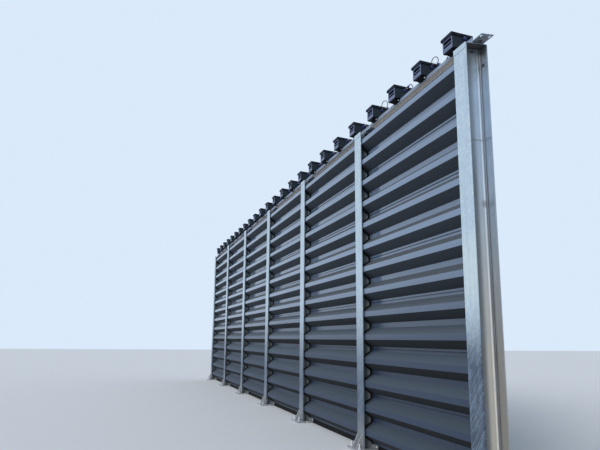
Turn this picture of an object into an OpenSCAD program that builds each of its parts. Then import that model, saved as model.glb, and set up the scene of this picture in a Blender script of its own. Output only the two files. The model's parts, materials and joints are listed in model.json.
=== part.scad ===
// Highway noise barrier: galvanised H-section posts on base plates carry
// corrugated metal panels in bays, with a cable tray and louvred boxes on top.
// X runs along the wall, Y points away from the road, Z is up.
// The origin is the underside of the middle post's base plate.

/* [Wall] */
// number of bays between posts
bay_count = 6; // [1:1:6]
// spacing of the posts, axis to axis
bay_length = 2500; // [1500:50:4000]
// height of the panels' lower edge over the base plates' underside
panel_base_height = 60; // [40:5:200]

/* [Post] */
// width of each flange, along the wall
flange_width = 200; // [150:5:260]
// depth of the H-section, across the wall
section_depth = 200; // [180:5:260]
// thickness of each flange
flange_thickness = 12; // [8:1:18]
// thickness of the web
web_thickness = 8; // [6:1:14]
// radius of the fillets between web and flanges
root_radius = 13; // [5:1:20]
// height of the post's head over the base plate's underside
post_height = 3557; // [2000:1:5000]
// rise of the panels' upper edge over the post's head
panel_rise = 3; // [0:1:40]
// height of the cover plate on the front flange's head
head_plate_height = 48; // [30:1:90]
// thickness of the cover plate on the front flange's head
head_plate_thickness = 3; // [2:0.5:6]
// radius of the bolt holes in the rear flange's head
flange_hole_radius = 9; // [4:0.5:12]
// distance of the rear flange's holes from the web's middle plane
flange_hole_offset = 46; // [32:1:70]
// depth of the upper pair of rear flange holes below the head
flange_hole_drop = 52; // [30:1:90]
// distance between the upper and the lower pair of rear flange holes
flange_hole_pitch = 112; // [60:1:200]
// depth of the lifting hole in the web below the head
lifting_hole_drop = 32; // [25:1:60]
// radius of the lifting hole in the web
lifting_hole_radius = 10; // [5:0.5:14]
// thickness of the plate that closes an end post's open channel at its head
cover_thickness = 4; // [3:1:10]
// clearance of that plate's cut corners from the root fillets
cover_clearance = 1; // [0.5:0.5:5]

/* [Base] */
// length of the base plate, along the wall
base_length = 340; // [300:10:500]
// width of the base plate, across the wall
base_width = 400; // [340:10:560]
// thickness of the base plate
base_thickness = 20; // [12:1:40]
// spacing of the anchor holes along the wall
anchor_spacing_x = 250; // [200:5:400]
// spacing of the anchor holes across the wall
anchor_spacing_y = 320; // [260:5:480]
// radius of the anchor holes
anchor_hole_radius = 12; // [8:0.5:18]
// height of the gusset plates
gusset_height = 140; // [60:5:300]
// reach of the gusset plates out from the flanges
gusset_reach = 70; // [30:5:90]
// thickness of the gusset plates
gusset_thickness = 10; // [6:1:16]
// distance of each gusset from the web's middle plane
gusset_offset = 60; // [20:5:80]
// length of the seat that carries a panel's end, along the wall
seat_length = 60; // [30:5:90]
// width of the seat, across the wall
seat_width = 120; // [60:5:160]

/* [Panel] */
// height of one corrugation
pitch = 250; // [150:5:300]
// number of corrugations on a whole panel
corrugation_count = 2; // [1:1:4]
// depth of the corrugation
corrugation_depth = 100; // [30:1:120]
// height of a ridge's flat face
ridge_face = 55; // [30:1:90]
// height of a valley's flat floor
valley_floor = 51; // [30:1:80]
// height of the sloping web below a ridge
lower_web = 73; // [30:1:90]
// gap between the ridges and the flange in front of them
panel_front_clearance = 8; // [3:0.5:15]
// gap between a panel's back and the flange behind it
panel_back_clearance = 8; // [3:0.5:15]
// gap between a panel's end and the post's web
panel_end_clearance = 8; // [4:1:20]
// gap between stacked panels
stack_clearance = 0.4; // [0.2:0.1:2]
// half the height of the dark joint between stacked panels
joint_reveal = 5; // [2:0.5:10]
// depth of the joint between stacked panels
joint_depth = 8; // [3:0.5:15]
// depth of the grooves in a panel's back sheet
back_groove_depth = 6; // [2:0.5:12]
// height of the grooves in a panel's back sheet
back_groove_height = 60; // [20:2:100]
// width of the rubber strips at a panel's end, along the wall
edge_seal_width = 32; // [15:1:60]
// gap between a strip and what it seals against
seat_gap = 0.3; // [0.2:0.05:0.5]

/* [Top] */
// wall thickness of the folded cap on the top panels
cap_thickness = 3; // [2:0.5:5]
// height of the folded cap on the top panels
cap_height = 17; // [15:1:40]
// gap between a cap's end and the plate of a tray bracket
cap_end_gap = 2; // [1:0.5:10]
// width of the cable tray, across the wall
tray_width = 108; // [60:1:160]
// height of the cable tray
tray_height = 32; // [15:1:60]
// wall thickness of the cable tray
tray_thickness = 3; // [1.5:0.5:5]
// position of the cable tray's front face across the wall
tray_front = -28; // [-60:1:0]
// distance of the tray's joints from the posts' axes, towards the near end
tray_joint_offset = 95; // [60:1:100]
// spacing of the slots in the tray's floor
slot_spacing = 250; // [100:10:500]
// length of a slot, along the wall
slot_length = 26; // [15:1:50]
// width of a slot
slot_width = 11; // [6:0.5:16]
// distance of each row of slots from the tray's middle
slot_row_offset = 36; // [15:1:45]
// thickness of a tray bracket's plate
bracket_plate = 6; // [4:1:10]
// reach of a tray bracket's plate past the post's axis, towards the near end
bracket_reach = 240; // [160:1:300]
// margin of a tray bracket's plate past each side of the tray
bracket_margin = 2; // [0:0.5:8]
// length of the slots at the plate's near end, along the wall
bracket_slot_length = 40; // [20:1:60]
// width of those slots
bracket_slot_width = 14; // [8:1:20]
// distance of each of those slots from the plate's middle
bracket_slot_offset = 38; // [25:1:42]
// distance from the middle of those slots to the plate's end
bracket_slot_setback = 38; // [32:1:50]
// radius of the hole in the plate, beside the post
bracket_hole_radius = 8; // [4:0.5:12]
// distance of that hole from the edge of the post's flanges
bracket_hole_gap = 26; // [15:1:40]
// length of the packing between the panels and the plate, along the wall
packing_length = 150; // [80:5:180]
// width of the packing, across the wall
packing_width = 96; // [60:2:104]

/* [Boxes] */
// number of boxes on a bay
boxes_per_bay = 4; // [1:1:6]
// distance from a post's axis to the middle of its first box
first_box_offset = 212; // [130:1:400]
// width of a box, along the wall
box_width = 176; // [100:1:240]
// depth of a box, across the wall
box_depth = 190; // [120:1:240]
// height of a box's front face
box_front_height = 119; // [80:1:180]
// fall of a box's top from front to back
box_top_fall = 21; // [0:1:40]
// reach of a box in front of the tray's front face
box_reach = 66; // [30:1:90]
// width of the louvred opening
opening_width = 140; // [60:1:200]
// height of the louvred opening
opening_height = 58; // [30:1:90]
// height of the front band under the opening
lower_band = 40; // [15:1:60]
// depth of the louvred opening
opening_depth = 70; // [20:1:120]
// thickness of the slat in the opening
slat_thickness = 8; // [3:0.5:14]
// depth of the slat in the opening
slat_depth = 30; // [10:1:60]
// thickness of the lid
lid_thickness = 16; // [6:0.5:30]
// overhang of the lid past the box's front and sides
lid_overhang = 12; // [4:0.5:25]
// depth of the lid's turned-down rim
lid_rim = 8; // [3:0.5:15]
// thickness of the lid's rim
lid_rim_thickness = 3; // [2:0.5:5]
// thickness of the mounting plate under a box
mount_plate = 6; // [2:0.5:10]
// width of the mounting plate, along the wall
mount_width = 164; // [120:1:176]
// setback of the mounting plate behind a box's front
mount_setback = 6; // [2:1:20]
// width of the folded bracket in front of the tray
yoke_width = 110; // [40:1:140]
// drop of the folded bracket below the mounting plate
yoke_drop = 22; // [18:1:30]
// height of the folded bracket's front edge
yoke_edge = 5; // [3:0.5:10]
// depth of the folded bracket's foot, in front of the tray
yoke_foot = 14; // [8:1:20]
// wall thickness of the folded bracket
yoke_wall = 4; // [2:0.5:6]
// radius of the bolt that holds the folded bracket
pivot_radius = 4; // [2.5:0.5:6]
// radius of the cable gland's nut
gland_radius = 16; // [8:0.5:24]
// length of the cable gland's nut
gland_length = 18; // [8:0.5:30]
// distance of the gland behind the tray's front face
gland_setback = 48; // [20:1:90]
// depth of the gland below the lid
gland_drop = 24; // [18:1:60]
// length of the gland's nose past its nut
gland_nose = 8; // [4:0.5:16]

/* [Leads] */
// diameter of the leads between the boxes
lead_diameter = 8; // [6:0.5:9]
// bend radius of the leads that lie in the tray
lead_bend = 32; // [24:1:36]
// straight stretch of a lead between its gland and its coupler
lead_stub = 24; // [15:1:40]
// radius of the couplers
coupler_radius = 10; // [7:0.5:12]
// length of the couplers
coupler_length = 28; // [20:1:40]
// clearance between a coupler and the lead that it holds
coupler_clearance = 0.3; // [0.2:0.05:0.5]

/* [Hidden] */
post_count = bay_count + 1;
channel_half = section_depth / 2 - flange_thickness;
panel_height = corrugation_count * pitch;
upper_web = pitch - ridge_face - valley_floor - lower_web;
ridge_y = -channel_half + panel_front_clearance;
valley_y = ridge_y + corrugation_depth;
back_y = channel_half - panel_back_clearance;
panel_length = bay_length - web_thickness - 2 * panel_end_clearance;
panel_top = post_height + panel_rise;
stack_height = panel_top - panel_base_height;
course_count = max(1, floor(stack_height / panel_height + 0.001));
cap_bottom = panel_top - stack_clearance + seat_gap;
tray_bottom = cap_bottom + cap_height + seat_gap;
tray_top = tray_bottom + tray_height;
tray_middle = tray_front + tray_width / 2;
box_spacing = bay_length / boxes_per_bay;
plate_bottom = tray_top + seat_gap;
box_bottom = plate_bottom + mount_plate + seat_gap;
box_front = tray_front - box_reach;
box_back = box_front + box_depth;
bracket_top = tray_bottom - seat_gap;
lead_radius = lead_diameter / 2;
gland_reach = seat_gap + gland_length + gland_nose;
gland_y = tray_front + gland_setback;
gland_z = box_bottom + box_front_height - box_top_fall * (gland_y - box_front) / box_depth - gland_drop;
lead_span = box_spacing - box_width - 2 * gland_reach;
lead_fall = gland_z - tray_bottom - tray_thickness - lead_radius - seat_gap;
lead_near = 2 * lead_stub + coupler_length;
bend = min(lead_bend, lead_fall / 2.2, (lead_span - lead_near - lead_stub) / 4.4);
eps = 1;

// routes of the three free leads, from the mouth of the gland that each one leaves
jumper_1_route = [[0, 0, 0], [24, 1, 0], [47, 7, 0], [67, 15, 9], [78, 18, 29], [76, 16, 52], [62, 8, 70],
  [42, -2, 74], [23, -11, 63], [14, -17, 42], [18, -16, 19], [34, -11, 3], [56, -2, 0], [77, 6, -6],
  [99, 10, -16], [121, 14, -26], [142, 14, -35], [165, 13, -41], [189, 12, -44], [213, 10, -45],
  [236, 9, -43], [259, 7, -38], [282, 5, -31], [305, 4, -23], [327, 2, -15], [349, 1, -7], [372, 0, -2],
  [396, 0, 0]];
jumper_2_route = [[0, 0, 0], [20, 0, 1], [41, 0, 7], [62, 0, 13], [83, 0, 19], [106, 1, 19], [128, 2, 10],
  [146, 3, -6], [158, 4, -27], [167, 4, -48], [176, 4, -68], [188, 4, -87], [205, 4, -101],
  [226, 2, -110], [248, 1, -113], [270, 0, -111], [292, 0, -105], [310, 0, -93], [325, 0, -76],
  [336, 0, -57], [345, 0, -36], [356, 0, -17], [374, 0, -3], [396, 0, 0]];
jumper_3_route = [[0, 0, 0], [25, 1, 0], [49, 8, 0], [71, 16, 9], [84, 21, 29], [85, 20, 54], [74, 14, 75],
  [54, 4, 86], [32, -7, 82], [15, -15, 66], [10, -19, 42], [18, -16, 18], [36, -10, 3], [59, 0, 0],
  [80, 9, -6], [102, 15, -16], [124, 21, -26], [146, 19, -40], [166, 15, -56], [185, 11, -71],
  [205, 9, -87], [226, 6, -101], [249, 4, -110], [273, 2, -111], [297, 1, -103], [317, 1, -88],
  [332, 0, -68], [344, 0, -46], [355, 0, -24], [372, 0, -5], [396, 0, 0]];
// entry of each route at the middle of its coupler
coupler_entry = [14, 3, 15];
// level direction that lies across the free leads, and the sides of their tubes
jumper_side = [0.44, -0.9, 0];
jumper_sides = 10;

// axis of post k, counted from the near end
function post_x(k) = (bay_count / 2 - (k - 1)) * bay_length;
// middle of box i of bay b
function box_x(b, i) = post_x(b) - first_box_offset - i * box_spacing;
// corrugations that a height takes, the last one cut where the height ends
function rows(height) = ceil(height / pitch - 0.001);
// front outline of that many corrugations, from the lower edge up
function front_line(z0, count) = [for (z = [0 : count - 1]) each [
  [valley_y, z0 + z * pitch + valley_floor / 2],
  [ridge_y, z0 + z * pitch + valley_floor / 2 + lower_web],
  [ridge_y, z0 + z * pitch + valley_floor / 2 + lower_web + ridge_face],
  [valley_y, z0 + z * pitch + pitch - valley_floor / 2]]];

// turns a profile drawn in (y, z) into a bar along X, centred on its length
module along_wall(length) {
  rotate([90, 0, 90]) translate([0, 0, -length / 2]) linear_extrude(length) children();
}

// cuts a profile drawn in (y, z) at a height, where it stands over it
module cut_above(z, top) {
  if (top - z < 0.01) children();
  else difference() {
    children();
    translate([-section_depth, z]) square([2 * section_depth, top - z + eps]);
  }
}

module h_section() {
  for (s = [-1, 1]) {
    translate([-flange_width / 2, s > 0 ? channel_half : -section_depth / 2])
      square([flange_width, flange_thickness]);
  }
  translate([-web_thickness / 2, -section_depth / 2]) square([web_thickness, section_depth]);
  for (s = [-1, 1], t = [-1, 1]) {
    scale([s, t]) translate([web_thickness / 2, channel_half - root_radius]) difference() {
      translate([-1, 0]) square([root_radius + 1, root_radius + 1]);
      translate([root_radius, 0]) circle(root_radius, $fn = 32);
    }
  }
}

module gusset() {
  rotate([90, 0, 90]) translate([0, 0, -gusset_thickness / 2]) linear_extrude(gusset_thickness)
    polygon([[-eps, -eps], [gusset_reach, -eps], [gusset_reach, 15],
      [15, gusset_height], [-eps, gusset_height]]);
}

module post(k) {
  x = post_x(k);
  color("lightsteelblue") difference() {
    union() {
      translate([x, 0, 0]) linear_extrude(post_height) h_section();
      translate([x - base_length / 2, -base_width / 2, 0]) cube([base_length, base_width, base_thickness]);
      translate([x - flange_width / 2, -section_depth / 2 - head_plate_thickness,
          post_height - head_plate_height])
        cube([flange_width, head_plate_thickness + eps, head_plate_height]);
      for (s = [-1, 1], t = [-1, 1]) {
        translate([x + s * gusset_offset, t * section_depth / 2, base_thickness])
          rotate([0, 0, t > 0 ? 0 : 180]) gusset();
      }
      for (s = [-1, 1]) {
        translate([x + s * (web_thickness + seat_length) / 2, (valley_y + back_y) / 2, 0])
          translate([-seat_length / 2 - eps, -seat_width / 2, base_thickness - eps])
          cube([seat_length + 2 * eps, seat_width, panel_base_height - seat_gap - base_thickness + eps]);
      }
    }
    for (s = [-1, 1], t = [-1, 1]) {
      translate([x + s * anchor_spacing_x / 2, t * anchor_spacing_y / 2, -eps])
        cylinder(h = base_thickness + 2 * eps, r = anchor_hole_radius, $fn = 48);
    }
    for (s = [-1, 1], j = [0, 1]) {
      translate([x + s * flange_hole_offset, channel_half - eps,
          post_height - flange_hole_drop - j * flange_hole_pitch])
        rotate([-90, 0, 0]) cylinder(h = flange_thickness + 2 * eps, r = flange_hole_radius, $fn = 32);
    }
    translate([x - web_thickness, 12, post_height - lifting_hole_drop])
      rotate([0, 90, 0]) cylinder(h = 2 * web_thickness, r = lifting_hole_radius, $fn = 32);
  }
}

module panel_profile(z0, height) {
  count = rows(height);
  top = z0 + count * pitch;
  lower = z0 + stack_clearance / 2;
  upper = top - stack_clearance / 2;
  cut_above(z0 + height - stack_clearance / 2, upper) difference() {
    polygon(concat(
      [[valley_y + joint_depth, lower], [valley_y + joint_depth, z0 + joint_reveal],
       [valley_y, z0 + joint_reveal]],
      front_line(z0, count),
      [[valley_y, top - joint_reveal], [valley_y + joint_depth, top - joint_reveal],
       [valley_y + joint_depth, upper], [back_y, upper], [back_y, lower]]));
    for (j = [0 : count - 1]) {
      translate([back_y, z0 + (j + 0.5) * pitch])
        polygon([[-back_groove_depth, -back_groove_height / 2 + back_groove_depth],
          [-back_groove_depth, back_groove_height / 2 - back_groove_depth],
          [eps, back_groove_height / 2 + eps], [eps, -back_groove_height / 2 - eps]]);
    }
  }
}

module panels(b) {
  x = (post_x(b) + post_x(b + 1)) / 2;
  rest = stack_height - (course_count - 1) * panel_height;
  color("dimgray") for (c = [0 : course_count - 1]) {
    translate([x, 0, 0]) along_wall(panel_length)
      panel_profile(panel_base_height + c * panel_height, c == course_count - 1 ? rest : panel_height);
  }
}

module edge_seals(b) {
  x = (post_x(b) + post_x(b + 1)) / 2;
  front = front_line(panel_base_height, rows(stack_height));
  last = len(front) - 1;
  outer = panel_front_clearance - seat_gap;
  color("black") for (s = [-1, 1]) {
    translate([x + s * (panel_length - edge_seal_width) / 2, 0, 0]) {
      along_wall(edge_seal_width) cut_above(panel_top, front[last][1]) polygon(concat(
        [for (p = front) [p[0] - seat_gap, p[1]]],
        [for (i = [last : -1 : 0]) [front[i][0] - outer, front[i][1]]]));
      along_wall(edge_seal_width) translate([back_y + seat_gap, panel_base_height])
        square([panel_back_clearance - 2 * seat_gap, stack_height - seat_gap]);
    }
  }
}

module bottom_seals() {
  length = bay_length - base_length - 2 * seat_gap;
  color("black") for (b = [1 : bay_count]) {
    translate([(post_x(b) + post_x(b + 1)) / 2, 0, 0]) along_wall(length)
      polygon([[valley_y + joint_depth + 4, 0], [back_y - 4, 0],
        [back_y - 8, panel_base_height - seat_gap],
        [valley_y + joint_depth + 8, panel_base_height - seat_gap]]);
  }
}

module panel_caps() {
  width = back_y - valley_y;
  color("tan") for (b = [1 : bay_count]) {
    near = post_x(b) - flange_width / 2 - cap_end_gap;
    far = post_x(b + 1) + bracket_reach + cap_end_gap;
    translate([(near + far) / 2, 0, 0]) along_wall(near - far)
      translate([valley_y, cap_bottom]) difference() {
        square([width, cap_height]);
        translate([cap_thickness, -eps])
          square([width - 2 * cap_thickness, cap_height - cap_thickness + eps]);
      }
  }
}

// slot along X with round ends, cut downwards through a plate
module slot_cut(length, width, plate) {
  for (s = [-1, 1]) translate([s * (length - width) / 2, 0, -eps])
    cylinder(h = plate + 2 * eps, r = width / 2, $fn = 24);
  translate([-(length - width) / 2, -width / 2, -eps]) cube([length - width, width, plate + 2 * eps]);
}

module cable_tray(b) {
  near = post_x(b) + tray_joint_offset - seat_gap / 2;
  far = post_x(b + 1) + (b == bay_count ? -flange_width / 2 : tray_joint_offset + seat_gap / 2);
  count = floor((near - far - slot_length - 20) / slot_spacing) + 1;
  first = (near + far) / 2 - (count - 1) * slot_spacing / 2;
  color("lightsteelblue") difference() {
    translate([(near + far) / 2, 0, 0]) along_wall(near - far)
      translate([tray_front, tray_bottom]) difference() {
        square([tray_width, tray_height]);
        translate([tray_thickness, tray_thickness])
          square([tray_width - 2 * tray_thickness, tray_height]);
      }
    for (i = [0 : count - 1], t = [-1, 1]) {
      translate([first + i * slot_spacing, tray_middle + t * slot_row_offset, tray_bottom])
        slot_cut(slot_length, slot_width, tray_thickness);
    }
  }
}

module tray_brackets() {
  width = tray_width + 2 * bracket_margin;
  plate_z = bracket_top - bracket_plate;
  packing_z = panel_top + seat_gap;
  color("lightsteelblue") for (k = [1 : post_count]) {
    translate([post_x(k), tray_middle, 0]) difference() {
      union() {
        translate([-flange_width / 2, -width / 2, plate_z])
          cube([flange_width / 2 + bracket_reach, width, bracket_plate]);
        translate([-packing_length / 2, -packing_width / 2, packing_z])
          cube([packing_length, packing_width, plate_z - packing_z + eps]);
        translate([-web_thickness / 2, -packing_width / 2, post_height + seat_gap])
          cube([web_thickness, packing_width, plate_z - post_height]);
      }
      for (t = [-1, 1])
        translate([bracket_reach - bracket_slot_setback, t * bracket_slot_offset, plate_z])
        slot_cut(bracket_slot_length, bracket_slot_width, bracket_plate);
      translate([flange_width / 2 + bracket_hole_gap, 0, plate_z - eps])
        cylinder(h = bracket_plate + 2 * eps, r = bracket_hole_radius, $fn = 32);
    }
  }
}

module end_covers() {
  half = channel_half - seat_gap;
  inner = web_thickness / 2 + seat_gap;
  cut = root_radius + cover_clearance;
  color("slategray") for (s = [-1, 1]) {
    translate([s * bay_count * bay_length / 2, 0, post_height - cover_thickness]) rotate([0, 0, 90 - s * 90])
      linear_extrude(cover_thickness) polygon([[flange_width / 2, -half], [flange_width / 2, half],
        [inner + cut, half], [inner, half - cut], [inner, -half + cut], [inner + cut, -half]]);
  }
}

module box_profile() {
  polygon([[box_front, box_bottom], [box_front, box_bottom + box_front_height],
    [box_back, box_bottom + box_front_height - box_top_fall], [box_back, box_bottom]]);
}

module boxes(b) {
  mid = box_bottom + lower_band + opening_height / 2;
  color("darkslategray") for (i = [0 : boxes_per_bay - 1]) {
    translate([box_x(b, i), 0, 0]) {
      difference() {
        along_wall(box_width) box_profile();
        translate([-opening_width / 2, box_front - eps, box_bottom + lower_band])
          cube([opening_width, opening_depth + eps, opening_height]);
      }
      along_wall(opening_width + 2 * eps) translate([box_front + 2, mid])
        polygon([[0, -slat_thickness], [slat_depth, 0], [slat_depth, slat_thickness], [0, 0]]);
    }
  }
}

module box_lids() {
  top = box_bottom + box_front_height + seat_gap;
  slope = box_top_fall / box_depth;
  front = box_front - lid_overhang;
  lip = top + slope * lid_overhang;
  color("darkslategray") for (b = [1 : bay_count], i = [0 : boxes_per_bay - 1]) {
    translate([box_x(b, i), 0, 0]) difference() {
      along_wall(box_width + 2 * lid_overhang) polygon([[front, lip - lid_rim], [front, lip + lid_thickness],
        [box_back + 4, top - box_top_fall + lid_thickness], [box_back + 4, top - box_top_fall - lid_rim]]);
      along_wall(box_width + 2 * (lid_overhang - lid_rim_thickness)) polygon([[front + lid_rim_thickness,
        top - lid_rim - 20], [front + lid_rim_thickness, lip], [box_back + 4 - lid_rim_thickness,
        top - box_top_fall], [box_back + 4 - lid_rim_thickness, top - lid_rim - box_top_fall - 20]]);
    }
  }
}

// side outline of the folded bracket, drawn in (y, z) and shrunk by a margin
module yoke_profile(margin) {
  top = plate_bottom + mount_plate / 2;
  front = box_front + mount_setback + margin;
  foot = plate_bottom - yoke_drop + margin;
  polygon([[front, top], [front, plate_bottom - yoke_edge + margin], [tray_front - yoke_foot, foot],
    [tray_front - seat_gap - margin, foot], [tray_front - seat_gap - margin, top]]);
}

module box_brackets() {
  bolt_y = tray_front - yoke_foot;
  bolt_z = plate_bottom - yoke_drop / 2;
  color("black") for (b = [1 : bay_count], i = [0 : boxes_per_bay - 1]) {
    translate([box_x(b, i), 0, 0]) {
      translate([-mount_width / 2, box_front + mount_setback, plate_bottom])
        cube([mount_width, box_reach + tray_width - mount_setback - tray_thickness, mount_plate]);
      difference() {
        along_wall(yoke_width) yoke_profile(0);
        along_wall(yoke_width - 2 * yoke_wall) yoke_profile(yoke_wall);
      }
      translate([-yoke_width / 2 - yoke_wall, bolt_y, bolt_z]) rotate([0, 90, 0])
        cylinder(h = yoke_width + 2 * yoke_wall, r = pivot_radius, $fn = 32);
    }
  }
}

// nut and nose of a gland on a box's side, along +X from the side
module gland() {
  rotate([0, 90, 0]) {
    translate([0, 0, seat_gap]) cylinder(h = gland_length, r = gland_radius, $fn = 48);
    translate([0, 0, seat_gap]) cylinder(h = gland_length + gland_nose, r = gland_radius * 0.6, $fn = 48);
  }
}

module cable_glands() {
  color("midnightblue") for (b = [1 : bay_count], i = [0 : boxes_per_bay - 1]) {
    translate([box_x(b, i) + box_width / 2, gland_y, gland_z]) gland();
    if (b < bay_count || i < boxes_per_bay - 1)
      translate([box_x(b, i) - box_width / 2, gland_y, gland_z]) rotate([0, 0, 180]) gland();
  }
}

// mouth of the near gland of box i of bay b, where its lead leaves it
function mouth(b, i) = [box_x(b, i) + box_width / 2 + gland_reach, gland_y, gland_z];

// a quarter of a ring round the origin, from +X to +Z
module quarter_bend() {
  rotate([90, 0, 0]) rotate_extrude(angle = 90, $fn = 48)
    translate([bend, 0]) circle(lead_radius, $fn = 24);
}

// end of a lead that lies in the tray: straight out of the gland, down and on along the floor
module lead_end(straight) {
  rotate([0, 90, 0]) cylinder(h = straight, r = lead_radius, $fn = 24);
  translate([straight, 0, -bend]) quarter_bend();
  translate([straight + bend, 0, bend - lead_fall])
    cylinder(h = lead_fall - 2 * bend, r = lead_radius, $fn = 24);
  translate([straight + 2 * bend, 0, bend - lead_fall]) rotate([0, 180, 0]) quarter_bend();
}

module box_leads() {
  run_start = lead_near + 2 * bend;
  color("black") for (b = [1 : bay_count], i = [0 : boxes_per_bay - 1]) {
    if (b > 1) translate(mouth(b, i)) {
      lead_end(lead_near);
      translate([lead_span, 0, 0]) rotate([0, 0, 180]) lead_end(lead_stub);
      translate([run_start, 0, -lead_fall]) rotate([0, 90, 0])
        cylinder(h = lead_span - lead_stub - 2 * bend - run_start, r = lead_radius, $fn = 24);
      translate([lead_stub, 0, 0]) rotate([0, 90, 0])
        cylinder(h = coupler_length, r = coupler_radius, $fn = 32);
    }
  }
}

// direction of a route at entry i, as a unit vector; it leaves and enters the glands along X
function heading(route, i) = i == 0 || i == len(route) - 1 ? [1, 0, 0]
  : let (d = route[i + 1] - route[i - 1]) d / norm(d);
// points of a tube's section at entry i of its route
function section(route, i, radius) =
  let (d = heading(route, i), s = jumper_side - (jumper_side * d) * d, side = s / norm(s),
    up = cross(d, side))
  [for (k = [0 : jumper_sides - 1])
    route[i] + radius * (cos(k * 360 / jumper_sides) * side + sin(k * 360 / jumper_sides) * up)];

module jumper(i, route) {
  n = jumper_sides;
  last = (len(route) - 1) * n;
  color("black") translate(mouth(1, i)) polyhedron(
    points = [for (j = [0 : len(route) - 1]) each section(route, j, lead_radius)],
    faces = concat([[for (k = [0 : n - 1]) k]], [[for (k = [n - 1 : -1 : 0]) last + k]],
      [for (j = [0 : n : last - n], k = [0 : n - 1]) each [
        [j + k, j + n + k, j + n + (k + 1) % n], [j + k, j + n + (k + 1) % n, j + (k + 1) % n]]]));
}

module jumper_coupler(i, route) {
  entry = coupler_entry[i - 1];
  d = heading(route, entry);
  color("mediumblue") translate(mouth(1, i) + route[entry])
    rotate([0, acos(d[2]), atan2(d[1], d[0])]) difference() {
      cylinder(h = coupler_length, r = coupler_radius, center = true, $fn = 48);
      cylinder(h = coupler_length + 2 * eps, r = lead_radius + coupler_clearance, center = true, $fn = 48);
    }
}

post(1);  // post_1
post(2);  // post_2
post(3);  // post_3
post(4);  // post_4
post(5);  // post_5
post(6);  // post_6
post(7);  // post_7
panels(1);  // panels_bay_1
panels(2);  // panels_bay_2
panels(3);  // panels_bay_3
panels(4);  // panels_bay_4
panels(5);  // panels_bay_5
panels(6);  // panels_bay_6
edge_seals(1);  // edge_seals_bay_1
edge_seals(2);  // edge_seals_bay_2
edge_seals(3);  // edge_seals_bay_3
edge_seals(4);  // edge_seals_bay_4
edge_seals(5);  // edge_seals_bay_5
edge_seals(6);  // edge_seals_bay_6
bottom_seals();
panel_caps();
cable_tray(1);  // cable_tray_bay_1
cable_tray(2);  // cable_tray_bay_2
cable_tray(3);  // cable_tray_bay_3
cable_tray(4);  // cable_tray_bay_4
cable_tray(5);  // cable_tray_bay_5
cable_tray(6);  // cable_tray_bay_6
tray_brackets();
boxes(1);  // boxes_bay_1
boxes(2);  // boxes_bay_2
boxes(3);  // boxes_bay_3
boxes(4);  // boxes_bay_4
boxes(5);  // boxes_bay_5
boxes(6);  // boxes_bay_6
box_lids();
box_brackets();
cable_glands();
end_covers();
box_leads();
jumper(1, jumper_1_route);  // jumper_1
jumper(2, jumper_2_route);  // jumper_2
jumper(3, jumper_3_route);  // jumper_3
jumper_coupler(1, jumper_1_route);  // jumper_1_coupler
jumper_coupler(2, jumper_2_route);  // jumper_2_coupler
jumper_coupler(3, jumper_3_route);  // jumper_3_coupler
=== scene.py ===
"""Looks of the highway noise barrier: finishes, small fasteners, cables, floor, light and camera.

X runs along the wall, Y away from the road and Z up, in metres. The near end is at +X.
"""

import json
import math

import bmesh
import bpy
from mathutils import Matrix, Vector
from mathutils.geometry import interpolate_bezier


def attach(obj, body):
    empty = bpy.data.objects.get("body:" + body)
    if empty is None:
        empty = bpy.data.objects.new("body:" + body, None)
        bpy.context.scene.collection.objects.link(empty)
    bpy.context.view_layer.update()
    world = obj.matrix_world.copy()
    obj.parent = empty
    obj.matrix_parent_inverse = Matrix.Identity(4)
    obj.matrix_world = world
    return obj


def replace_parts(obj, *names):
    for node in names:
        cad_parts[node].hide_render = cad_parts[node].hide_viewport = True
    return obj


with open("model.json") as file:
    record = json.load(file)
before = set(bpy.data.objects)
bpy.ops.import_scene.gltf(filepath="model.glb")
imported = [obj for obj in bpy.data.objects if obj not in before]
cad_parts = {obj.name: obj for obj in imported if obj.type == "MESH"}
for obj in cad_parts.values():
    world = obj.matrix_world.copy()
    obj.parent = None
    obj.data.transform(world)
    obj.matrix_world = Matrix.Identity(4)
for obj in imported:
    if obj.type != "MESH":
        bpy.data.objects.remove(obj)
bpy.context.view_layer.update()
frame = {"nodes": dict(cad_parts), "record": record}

# Camera, fitted to the photograph: place in metres, angles in degrees, lens and sensor in millimetres
CAMERA_PLACE = (12.071, -2.678, 1.1585)
CAMERA_HEADING = 14.85
CAMERA_PITCH = 12.34
CAMERA_ROLL = 0.4605
CAMERA_LENS = 39.306
CAMERA_SHIFT_Y = -0.0485
CAMERA_SENSOR = 36
CAMERA_REACH = 200


def set_camera():
    """Puts the camera where the photograph was taken from."""
    heading, pitch, roll = (math.radians(a) for a in (CAMERA_HEADING, CAMERA_PITCH, CAMERA_ROLL))
    level = Vector((-math.cos(heading), math.sin(heading), 0))
    forward = math.cos(pitch) * level + math.sin(pitch) * Vector((0, 0, 1))
    side = Vector((math.sin(heading), math.cos(heading), 0))
    up = -math.sin(pitch) * level + math.cos(pitch) * Vector((0, 0, 1))
    right = math.cos(roll) * side + math.sin(roll) * up
    top = math.cos(roll) * up - math.sin(roll) * side
    data = bpy.data.cameras.new("camera")
    data.sensor_width = CAMERA_SENSOR
    data.lens = CAMERA_LENS
    data.shift_y = CAMERA_SHIFT_Y
    data.clip_end = CAMERA_REACH
    camera = bpy.data.objects.new("camera", data)
    camera.matrix_world = Matrix((right, top, -forward)).transposed().to_4x4()
    camera.location = CAMERA_PLACE
    bpy.context.scene.collection.objects.link(camera)
    bpy.context.scene.camera = camera


# Free leads: diameter, steps of the curve from one point of a route to the next, and the sleeves' size
# and starts from the coupler's middle
LEAD_DIAMETER = 0.008
LEAD_STEPS = 6
SLEEVE_RADIUS = 0.0053
SLEEVE_LENGTH = 0.018
SLEEVE_STARTS = (-0.034, 0.016)

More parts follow.
